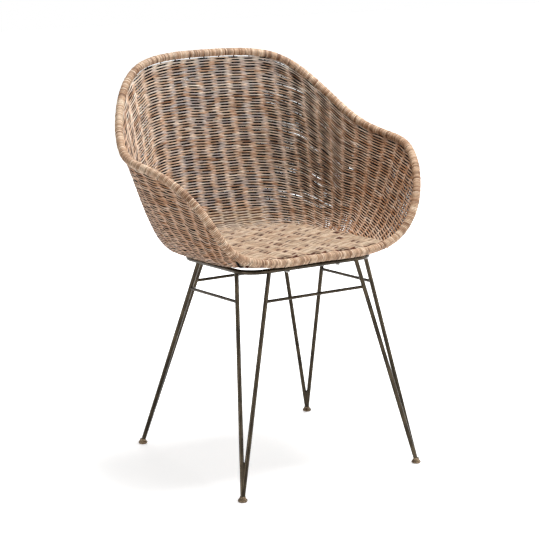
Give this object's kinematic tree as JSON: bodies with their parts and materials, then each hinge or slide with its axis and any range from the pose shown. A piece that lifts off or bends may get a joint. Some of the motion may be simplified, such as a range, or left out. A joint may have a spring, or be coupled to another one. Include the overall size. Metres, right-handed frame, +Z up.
{
  "type": "woven tub armchair",
  "caption": "Armchair with a one-piece woven wicker tub for seat, back and arms, wound rim, on splayed pairs of thin bronzed steel rods with stretchers.",
  "frame": {"origin": "on the floor under the middle of the chair's overall box, on its plane of symmetry; the middle of the four feet lies 38.1 mm ahead of it", "axes": "+Z up, the chair faces -Y, +X towards the sitter's left"},
  "size_m": [0.6508, 0.5103, 0.8323],
  "materials": {
    "bronzed_steel": "satin dark bronze",
    "screw_steel": "zinc plated",
    "glide_plastic": "matte",
    "rattan_pole": "peeled rattan",
    "rim_peel": "wound rattan peel",
    "wall_wicker": "woven rattan core, greyed",
    "seat_wicker": "woven rattan core"
  },
  "bodies": {
    "root": {"seat_ring": "bronzed_steel", "front_right_side_rod": "bronzed_steel", "front_right_front_rod": "bronzed_steel", "front_left_side_rod": "bronzed_steel", "front_left_front_rod": "bronzed_steel", "rear_right_side_rod": "bronzed_steel", "rear_right_rear_rod": "bronzed_steel", "rear_left_side_rod": "bronzed_steel", "rear_left_rear_rod": "bronzed_steel", "front_stretcher": "bronzed_steel", "rear_stretcher": "bronzed_steel", "right_stretcher": "bronzed_steel", "left_stretcher": "bronzed_steel", "front_right_leg_web": "wall_wicker", "front_left_leg_web": "wall_wicker", "rear_right_leg_web": "wall_wicker", "rear_left_leg_web": "wall_wicker", "front_right_foot": "bronzed_steel", "front_left_foot": "bronzed_steel", "rear_right_foot": "bronzed_steel", "rear_left_foot": "bronzed_steel", "front_right_floor_glide": "glide_plastic", "front_left_floor_glide": "glide_plastic", "rear_right_floor_glide": "glide_plastic", "rear_left_floor_glide": "glide_plastic", "seat_hoop": "rattan_pole", "shell_screws": "screw_steel", "middle_cross_pole": "rattan_pole", "rear_cross_pole": "rattan_pole", "rim_pole": "rattan_pole", "rim_binding": "rim_peel", "back_and_arms_weave": "wall_wicker", "seat_weave": "seat_wicker"}
  },
  "joints": []
}
